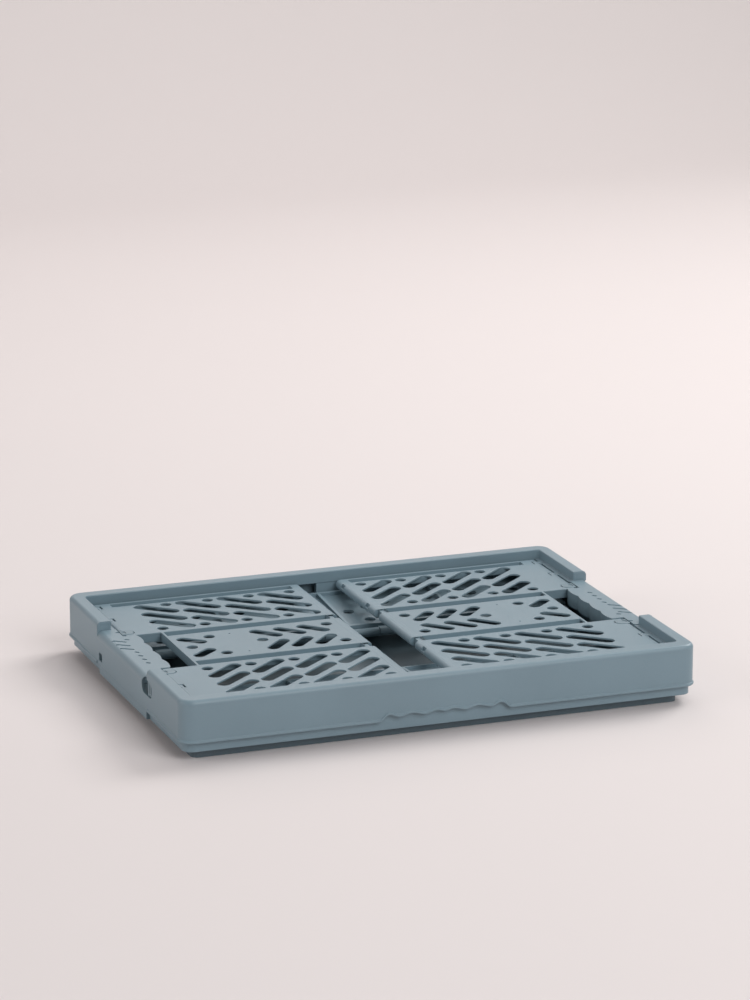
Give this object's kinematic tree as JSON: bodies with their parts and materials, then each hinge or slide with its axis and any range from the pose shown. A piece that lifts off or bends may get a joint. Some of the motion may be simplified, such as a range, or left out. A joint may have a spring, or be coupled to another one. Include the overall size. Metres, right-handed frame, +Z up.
{
  "type": "collapsible storage crate",
  "caption": "Folding plastic crate, stored flat: base tray, bi-fold long walls, hinged perforated end walls and a deep rim with carry grips.",
  "frame": {"origin": "on the floor under the middle of the folded crate", "axes": "+X along the long side to the right, +Y to the back, +Z up"},
  "size_m": [0.48, 0.35, 0.055],
  "materials": {
    "frame_plastic": "fine-grained matt polypropylene, blue-grey",
    "wall_plastic": "fine-grained matt polypropylene, blue-grey",
    "grip_plastic": "fine-grained matt polypropylene, blue-grey, slightly smoother where held",
    "trim_plastic": "matt polypropylene, blue-grey",
    "hinge_rod": "drawn steel rod"
  },
  "bodies": {
    "base": {"base_tray": "frame_plastic", "base_hinge_rod_front": "hinge_rod", "base_hinge_rod_back": "hinge_rod"},
    "front_lower_wall": {"lower_wall_front": "wall_plastic", "mid_hinge_rod_front": "hinge_rod"},
    "front_upper_wall": {"upper_wall_front": "wall_plastic"},
    "rim": {"rim_frame": "frame_plastic", "handle_grip_left": "grip_plastic", "handle_grip_right": "grip_plastic", "handle_plug_left": "trim_plastic", "handle_plug_right": "trim_plastic", "hinge_caps_left": "trim_plastic", "hinge_caps_right": "trim_plastic", "rim_hinge_rod_front": "hinge_rod", "rim_hinge_rod_back": "hinge_rod", "end_hinge_rods_left": "hinge_rod", "end_hinge_rods_right": "hinge_rod"},
    "back_lower_wall": {"lower_wall_back": "wall_plastic", "mid_hinge_rod_back": "hinge_rod"},
    "back_upper_wall": {"upper_wall_back": "wall_plastic"},
    "left_end_wall": {"end_wall_left": "wall_plastic"},
    "right_end_wall": {"end_wall_right": "wall_plastic"}
  },
  "joints": [
    {"name": "front_base_hinge", "type": "hinge", "parent": "base", "child": "front_lower_wall", "pos_m": [0, -0.163, 0.0145], "axis": [1, 0, 0], "range_deg": [0, 85.43]},
    {"name": "front_mid_hinge", "type": "hinge", "parent": "front_lower_wall", "child": "front_upper_wall", "pos_m": [0, -0.06282, 0.0225], "axis": [1, 0, 0], "range_deg": [-170.87, 0]},
    {"name": "front_rim_hinge", "type": "hinge", "parent": "front_upper_wall", "child": "rim", "pos_m": [0, -0.163, 0.0305], "axis": [1, 0, 0], "range_deg": [0, 85.43]},
    {"name": "back_base_hinge", "type": "hinge", "parent": "base", "child": "back_lower_wall", "pos_m": [0, 0.163, 0.0145], "axis": [1, 0, 0], "range_deg": [-85.43, 0]},
    {"name": "back_mid_hinge", "type": "hinge", "parent": "back_lower_wall", "child": "back_upper_wall", "pos_m": [0, 0.06282, 0.0225], "axis": [1, 0, 0], "range_deg": [0, 170.87]},
    {"name": "left_end_wall_hinge", "type": "hinge", "parent": "rim", "child": "left_end_wall", "pos_m": [-0.2179, 0, 0.0432], "axis": [0, -1, 0], "range_deg": [0, 90]},
    {"name": "right_end_wall_hinge", "type": "hinge", "parent": "rim", "child": "right_end_wall", "pos_m": [0.2179, 0, 0.0432], "axis": [0, 1, 0], "range_deg": [0, 90]}
  ],
  "couplings": [
    {"joint": "front_mid_hinge", "follows": "front_base_hinge", "ratio": -2},
    {"joint": "front_rim_hinge", "follows": "front_base_hinge", "ratio": 1},
    {"joint": "back_base_hinge", "follows": "front_base_hinge", "ratio": -1},
    {"joint": "back_mid_hinge", "follows": "front_base_hinge", "ratio": 2}
  ]
}
